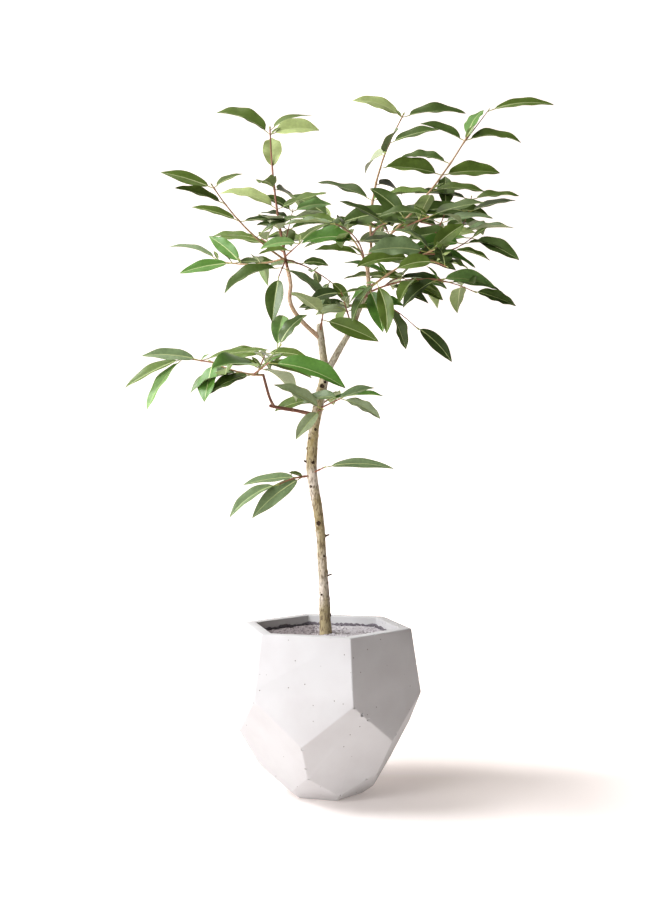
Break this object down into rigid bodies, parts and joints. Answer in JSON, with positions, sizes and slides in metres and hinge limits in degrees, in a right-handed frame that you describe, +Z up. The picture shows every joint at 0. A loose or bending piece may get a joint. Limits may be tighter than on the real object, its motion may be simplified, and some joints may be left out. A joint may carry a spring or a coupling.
{
  "type": "potted java plum tree",
  "caption": "Small broadleaf tree with a slender leaning trunk, pruned boughs and an airy crown of drooping leaves, standing in a white faceted cement pot.",
  "frame": {"origin": "centre of the pot's flat underside, at floor level", "axes": "+Z up along the trunk, -Y towards the front that the picture shows, +X to the right of that view"},
  "size_m": [0.7605, 0.5026, 1.2661],
  "materials": {
    "pot": "matte white cement",
    "soil": "dry grey crumbly soil",
    "bark": "olive tan bark with pale patches",
    "foliage": "glossy green leaves"
  },
  "bodies": {
    "root": {"pot": "pot", "soil": "soil", "trunk": "bark", "stem_left": "bark", "bough_left": "bark", "bough_right": "bark", "bough_top": "bark", "bough_low": "bark", "bough_low_end": "bark", "crown_left": "foliage", "crown_inner": "foliage", "crown_centre": "foliage", "crown_right": "foliage", "crown_far": "foliage", "crown_side": "foliage", "crown_below": "foliage", "crown_behind": "foliage", "bough_tuft": "foliage", "stem_tuft": "foliage", "low_left": "foliage", "low_middle": "foliage", "low_right": "foliage", "low_back": "foliage", "whorl_left": "foliage", "whorl_right": "foliage"}
  },
  "joints": []
}
